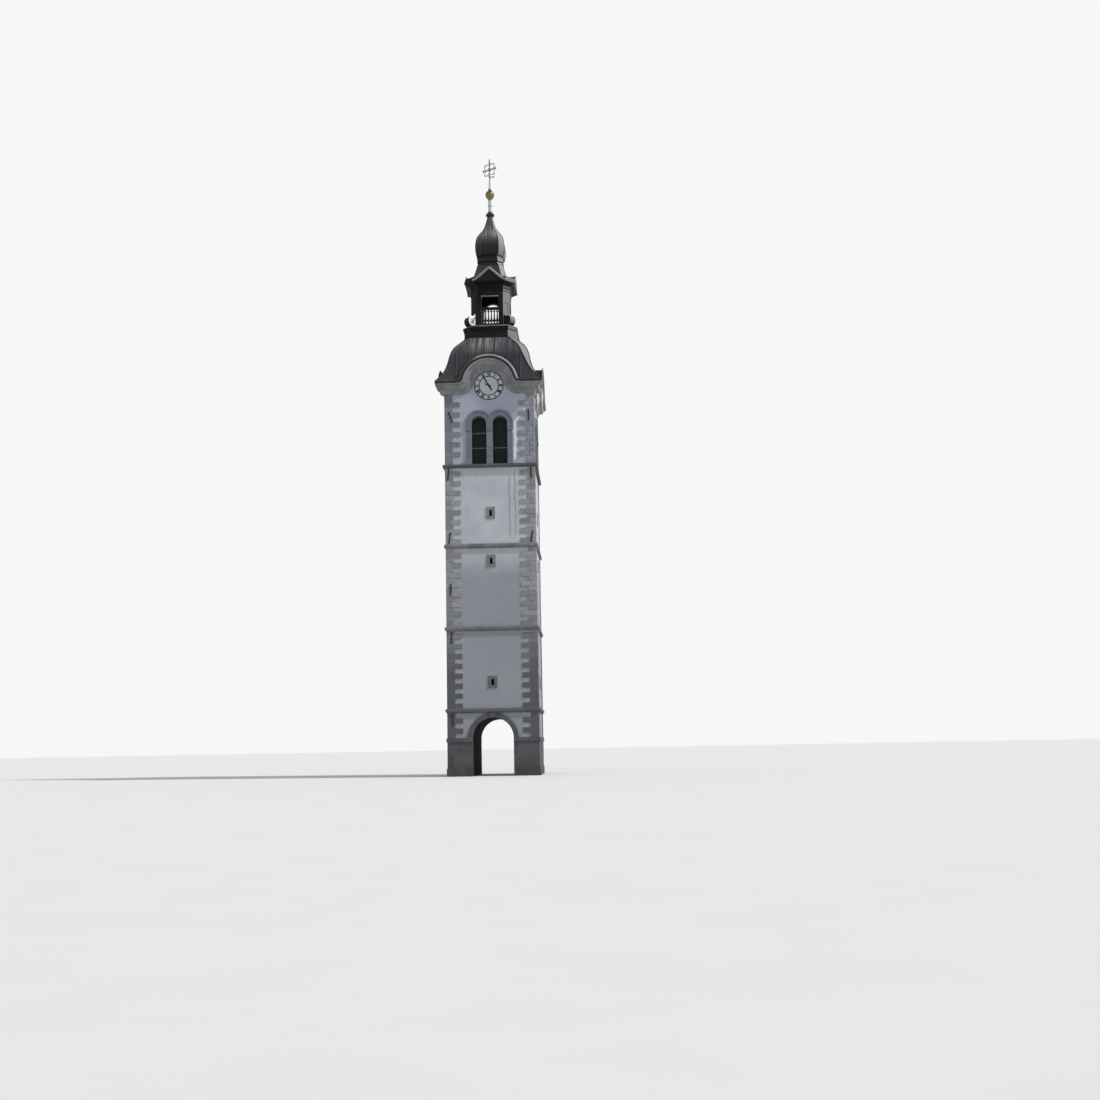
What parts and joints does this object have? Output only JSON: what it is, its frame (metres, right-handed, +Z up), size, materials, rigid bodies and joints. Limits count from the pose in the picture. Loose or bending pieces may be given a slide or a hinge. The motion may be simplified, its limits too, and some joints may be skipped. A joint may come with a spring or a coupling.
{
  "type": "clock tower",
  "caption": "Square plastered clock tower over an arched passage, with stone quoins, belfry, bell-shaped metal roof, open lantern and onion dome.",
  "frame": {"origin": "centre of the base at ground level", "axes": "+Z up, -Y out of the front face over the passage, +X to the right seen from the front"},
  "size_m": [6.52, 6.52, 39.52],
  "materials": {
    "stone": "rough",
    "plaster": "matt",
    "roof_metal": "satin",
    "iron": "matt",
    "timber": "weathered",
    "white_metal": "satin",
    "cream_metal": "matt",
    "gilt": "polished"
  },
  "bodies": {
    "tower": {"plinth": "stone", "dado": "stone", "impost_band": "stone", "passage_wall_left": "plaster", "passage_wall_right": "plaster", "passage_vault": "plaster", "arch_rings": "stone", "string_courses": "stone", "belfry_sill_course": "stone", "shaft_wall_front": "plaster", "shaft_wall_right": "plaster", "shaft_wall_back": "plaster", "shaft_wall_left": "plaster", "quoins": "stone", "slot_window_frames": "stone", "wall_anchors": "iron", "belfry_wall_front": "plaster", "belfry_wall_right": "plaster", "belfry_wall_back": "plaster", "belfry_wall_left": "plaster", "belfry_surrounds": "stone", "belfry_shutters": "timber", "shutter_ledges": "timber", "belfry_floor": "timber", "main_cornice": "plaster", "clock_gables": "plaster", "clock_dials": "plaster", "bell_roof": "roof_metal", "eyebrow_roofs": "roof_metal", "lantern_drum": "roof_metal", "lantern_floor": "roof_metal", "lantern_piers": "roof_metal", "lantern_arches": "roof_metal", "lantern_balustrades": "roof_metal", "lantern_volutes": "roof_metal", "volute_scrolls": "cream_metal", "upper_cornice": "roof_metal", "upper_gablets": "roof_metal", "upper_roof": "roof_metal", "onion_neck": "roof_metal", "onion_dome": "roof_metal", "finial_post": "white_metal", "gilt_ball": "gilt", "finial_cross": "iron"},
    "minute_front": {"minute_hand_front": "iron"},
    "hour_front": {"hour_hand_front": "iron"},
    "minute_right": {"minute_hand_right": "iron"},
    "hour_right": {"hour_hand_right": "iron"},
    "minute_back": {"minute_hand_back": "iron"},
    "hour_back": {"hour_hand_back": "iron"},
    "minute_left": {"minute_hand_left": "iron"},
    "hour_left": {"hour_hand_left": "iron"}
  },
  "joints": [
    {"name": "front_minute_hand", "type": "hinge", "parent": "tower", "child": "minute_front", "pos_m": [0, -2.7, 23.66], "axis": [0, 1, 0], "continuous": true},
    {"name": "front_hour_hand", "type": "hinge", "parent": "tower", "child": "hour_front", "pos_m": [0, -2.7, 23.66], "axis": [0, 1, 0], "continuous": true},
    {"name": "right_minute_hand", "type": "hinge", "parent": "tower", "child": "minute_right", "pos_m": [2.7, 0, 23.66], "axis": [-1, 0, 0], "continuous": true},
    {"name": "right_hour_hand", "type": "hinge", "parent": "tower", "child": "hour_right", "pos_m": [2.7, 0, 23.66], "axis": [-1, 0, 0], "continuous": true},
    {"name": "back_minute_hand", "type": "hinge", "parent": "tower", "child": "minute_back", "pos_m": [0, 2.7, 23.66], "axis": [0, -1, 0], "continuous": true},
    {"name": "back_hour_hand", "type": "hinge", "parent": "tower", "child": "hour_back", "pos_m": [0, 2.7, 23.66], "axis": [0, -1, 0], "continuous": true},
    {"name": "left_minute_hand", "type": "hinge", "parent": "tower", "child": "minute_left", "pos_m": [-2.7, 0, 23.66], "axis": [1, 0, 0], "continuous": true},
    {"name": "left_hour_hand", "type": "hinge", "parent": "tower", "child": "hour_left", "pos_m": [-2.7, 0, 23.66], "axis": [1, 0, 0], "continuous": true}
  ],
  "couplings": [
    {"joint": "front_hour_hand", "follows": "front_minute_hand", "ratio": 0.083333},
    {"joint": "right_minute_hand", "follows": "front_minute_hand", "ratio": 1},
    {"joint": "right_hour_hand", "follows": "front_minute_hand", "ratio": 0.083333},
    {"joint": "back_minute_hand", "follows": "front_minute_hand", "ratio": 1},
    {"joint": "back_hour_hand", "follows": "front_minute_hand", "ratio": 0.083333},
    {"joint": "left_minute_hand", "follows": "front_minute_hand", "ratio": 1},
    {"joint": "left_hour_hand", "follows": "front_minute_hand", "ratio": 0.083333}
  ]
}
